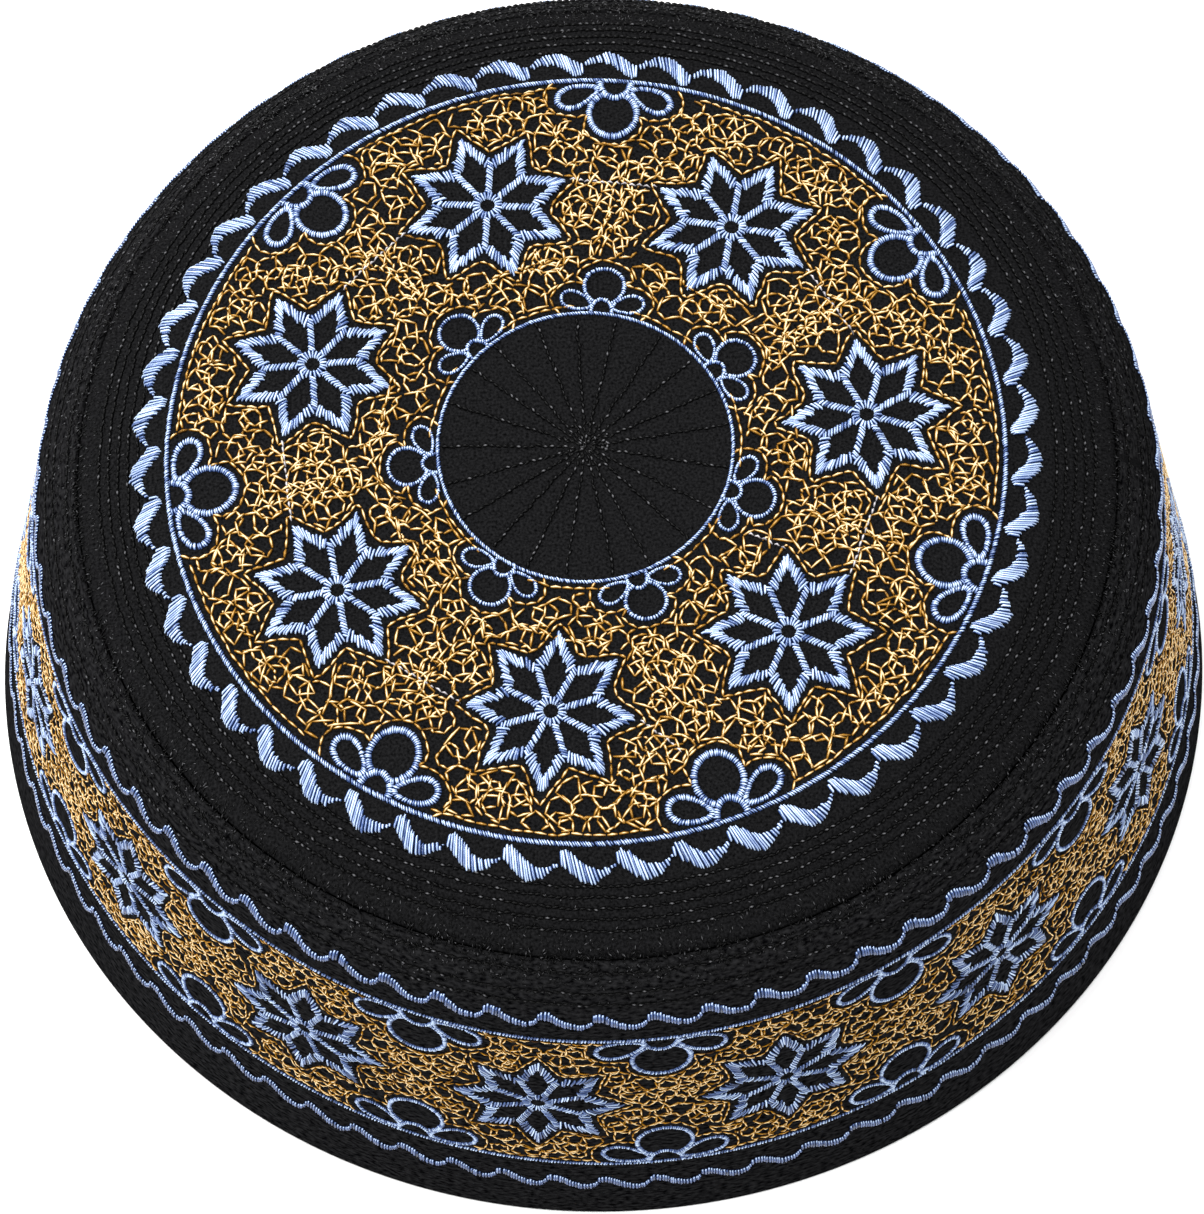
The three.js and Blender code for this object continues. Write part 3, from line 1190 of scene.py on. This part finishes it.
def crownPanel():
    look = crownPanelLook
    edge = seamRadius - capForm["seamGap"] / 2
    inner = np.linspace(look["middleRing"], look["fineFrom"], 46)
    margin = np.arange(look["fineFrom"] + look["fineRow"], edge - 0.2, look["fineRow"])
    radii = np.concatenate([inner, margin, [edge - 0.12, edge]])
    turn = np.arange(capForm["around"]) * fullTurn / capForm["around"]
    r, a = np.meshgrid(radii, turn, indexing="ij")
    x, y = r * np.cos(a), r * np.sin(a)
    z = crownRise(r)
    for row in quilting["crownRows"]:
        z -= pulledIn(r - row, *look["rowDent"])
    spokeStep = fullTurn / quilting["spokes"]
    dx, dy = x - medallionShift[0], y - medallionShift[1]
    fromMiddle = np.hypot(dx, dy)
    turned = np.arctan2(dy, dx) - quilting["spokeTurn"] + spokeStep / 2
    spokeOff = (turned % spokeStep - spokeStep / 2) * fromMiddle
    bare, fade = look["spokeFade"]
    spoked = (fromMiddle < medallion["innerLine"]) * np.clip((fromMiddle - bare) / fade, 0, 1)
    z -= pulledIn(spokeOff, *look["spokeDent"]) * spoked
    first, last = look["paddingEnds"]
    fade = look["paddingFade"]
    sewn = np.clip((r - first) / fade, 0, 1) * np.clip((last - r) / fade, 0, 1)
    z -= look["padding"] * puffs(x, y, look["paddingScale"]) * sewn
    width = look["grooveWidth"]
    least, more = look["groovePuffs"]
    uneven = least + more * puffs(20 * a, r, 1.0)
    z -= capForm["seamGroove"] * np.clip((r - edge + width) / width, 0, 1) ** 2 * uneven
    top = np.stack([x, y, z], -1)
    under = np.array([edge, *look["underside"], look["middleRing"]])
    r, a = np.meshgrid(under, turn, indexing="ij")
    low = np.stack([r * np.cos(a), r * np.sin(a), crownRise(r) - capForm["crownCloth"]], -1)
    rows = np.concatenate([top, low])
    flat = rows[..., :2].reshape(-1, 2)
    return turnedCloth("crown_panel", rows, flat, clothCrown, "crown_cloth", "crown_top", True)


def bandPanel():
    look = bandPanelLook
    cloth = capForm["bandCloth"]
    edge = seamRadius + capForm["seamGap"] / 2
    fine = np.arange(0.5, look["fineTo"], look["fineRow"])
    wall = np.concatenate([fine, np.arange(look["fineTo"], look["wallTop"], look["row"])])
    over = shoulder[::4][:-2]
    outer = np.vstack([np.stack([bandRadius(wall), wall], 1), over])
    dent = pulledIn(outer[:, 1] - quilting["hemFold"], *look["hemDent"])
    for row in quilting["shoulderRows"]:
        dent += pulledIn(outer[:, 1] - row, *look["rowDent"])
    way = np.gradient(outer, axis=0)
    normal = np.stack([way[:, 1], -way[:, 0]], 1) / np.linalg.norm(way, axis=1, keepdims=True)
    outer -= normal * dent[:, None]
    lapRise = lambda r: crownRise(r) - capForm["crownCloth"] - capForm["seamGap"]
    tuck = edge - look["lap"]
    lap = np.array([[edge, crownRise(edge) - capForm["seamGroove"]], [edge, lapRise(edge)],
                    [tuck, lapRise(tuck)], [tuck, lapRise(tuck) - look["lapCloth"]]])
    back = shoulder[::-12][1:]
    inwards, down = look["shoulderShare"]
    inside = np.stack([back[:, 0] - cloth * inwards, back[:, 1] - cloth * down], 1)
    wallIn = np.linspace(*look["wallInside"], 14)
    inside = np.vstack([inside, np.stack([bandRadius(wallIn) - cloth, wallIn], 1)])
    innerRound, outerRound, lip = look["hemCorners"]
    hem = np.array([[rimRadius - cloth + innerRound, 0.0], [rimRadius - outerRound, 0.0],
                    [rimRadius - lip, lip]])
    line = np.vstack([hem, outer, lap, inside])
    turn = np.arange(capForm["around"]) * fullTurn / capForm["around"]
    r, a = np.meshgrid(line[:, 0], turn, indexing="ij")
    z = np.repeat(line[:, 1][:, None], len(turn), 1)
    r = r * rimStretch(a, z)
    rows = np.stack([r * np.cos(a), r * np.sin(a), z], -1)
    along = np.concatenate([[0], np.cumsum(np.linalg.norm(np.diff(line, axis=0), axis=1))])
    up = np.repeat(along[:, None], len(turn), 1)
    flat = np.stack([a * rimRadius * look["streak"], up], -1).reshape(-1, 2)
    return turnedCloth("band_panel", rows, flat, clothBand, "band_cloth", "side_band", False)


crownPanel()
bandPanel()


# stage, light and camera
stageLook = {
    "floorSize": 6.0,
    "floorColor": (0.86, 0.86, 0.86, 1),
    "floorRoughness": 0.9,
    "lightAim": (0, 0, 0.05),
    "world": 0.26,
}
lights = [
    # name, place, size, power
    ("overheadSoftbox", (-0.1, 0.1, 1.4), 0.8, 26),
    ("backWindow", (-0.55, 1.05, 0.6), 0.5, 17),
    ("leftFill", (-1.1, -0.5, 0.6), 0.6, 15.5),
    ("rightFill", (1.1, -0.4, 0.7), 0.7, 9.2),
    ("frontFill", (0.15, -1.1, 0.65), 0.3, 1.3),
]


def paleFloor():
    half = stageLook["floorSize"] / 2 / mm
    corners = [(-half, -half, 0), (half, -half, 0), (half, half, 0), (-half, half, 0)]
    floor = meshPiece("floor", np.array(corners, float), [[0, 1, 2, 3]])
    material, tree, shader = nodeTree("pale floor")
    shader.inputs["Base Color"].default_value = stageLook["floorColor"]
    shader.inputs["Roughness"].default_value = stageLook["floorRoughness"]
    floor.data.materials.append(material)
    return floor


def softLight(name, place, aim, size, power):
    data = bpy.data.lights.new(name, "AREA")
    data.shape = "DISK"
    data.size = size
    data.energy = power
    light = bpy.data.objects.new(name, data)
    light.location = place
    light.rotation_euler = (Vector(aim) - Vector(place)).to_track_quat("-Z", "Y").to_euler()
    bpy.context.scene.collection.objects.link(light)
    return light


paleFloor()
for name, place, size, power in lights:
    softLight(name, place, stageLook["lightAim"], size, power)
world = bpy.data.worlds.new("studio")
world.use_nodes = True
world.node_tree.nodes["Background"].inputs["Color"].default_value = (1, 1, 1, 1)
world.node_tree.nodes["Background"].inputs["Strength"].default_value = stageLook["world"]
bpy.context.scene.world = world
bpy.context.scene.view_settings.view_transform = "Standard"

cameraLook = {
    "elevation": 66.26,        # degrees above the floor, seen from the front
    "distance": 1000.0,        # millimetres
    "roll": -1.886,
    "focal": 6443.5,           # pixels of the 1204 x 1214 frame
    "framePixels": 1214,
    "aim": (0.0, 0.0, 40.0),
    "aimPixels": (-2.3, -50.7),          # where the aimed place shows, from the middle of the frame
}


def photoCamera():
    c = cameraLook
    tilt, roll = math.radians(c["elevation"]), math.radians(c["roll"])
    back = Vector((0, -math.cos(tilt), math.sin(tilt)))
    right, up = Vector((1, 0, 0)), Vector((0, math.sin(tilt), math.cos(tilt)))
    place = Vector(c["aim"]) + back * c["distance"]
    dx, dy = -c["aimPixels"][0], -c["aimPixels"][1]
    u = math.cos(roll) * dx + math.sin(roll) * dy
    v = -math.sin(roll) * dx + math.cos(roll) * dy
    look = (-back + right * u / c["focal"] - up * v / c["focal"]).normalized()
    levelUp = (up - look * up.dot(look)).normalized()
    levelRight = look.cross(levelUp)
    turnedUp = levelUp * math.cos(roll) - levelRight * math.sin(roll)
    turnedRight = look.cross(turnedUp)
    data = bpy.data.cameras.new("photoCamera")
    data.sensor_width = 36
    data.lens = c["focal"] / c["framePixels"] * data.sensor_width
    data.clip_start = 0.01
    camera = bpy.data.objects.new("photoCamera", data)
    basis = Matrix((turnedRight, turnedUp, -look)).transposed().to_4x4()
    camera.matrix_world = Matrix.Translation(place * mm) @ basis
    bpy.context.scene.collection.objects.link(camera)
    bpy.context.scene.camera = camera
    return camera


photoCamera()
print("camera and lights placed")
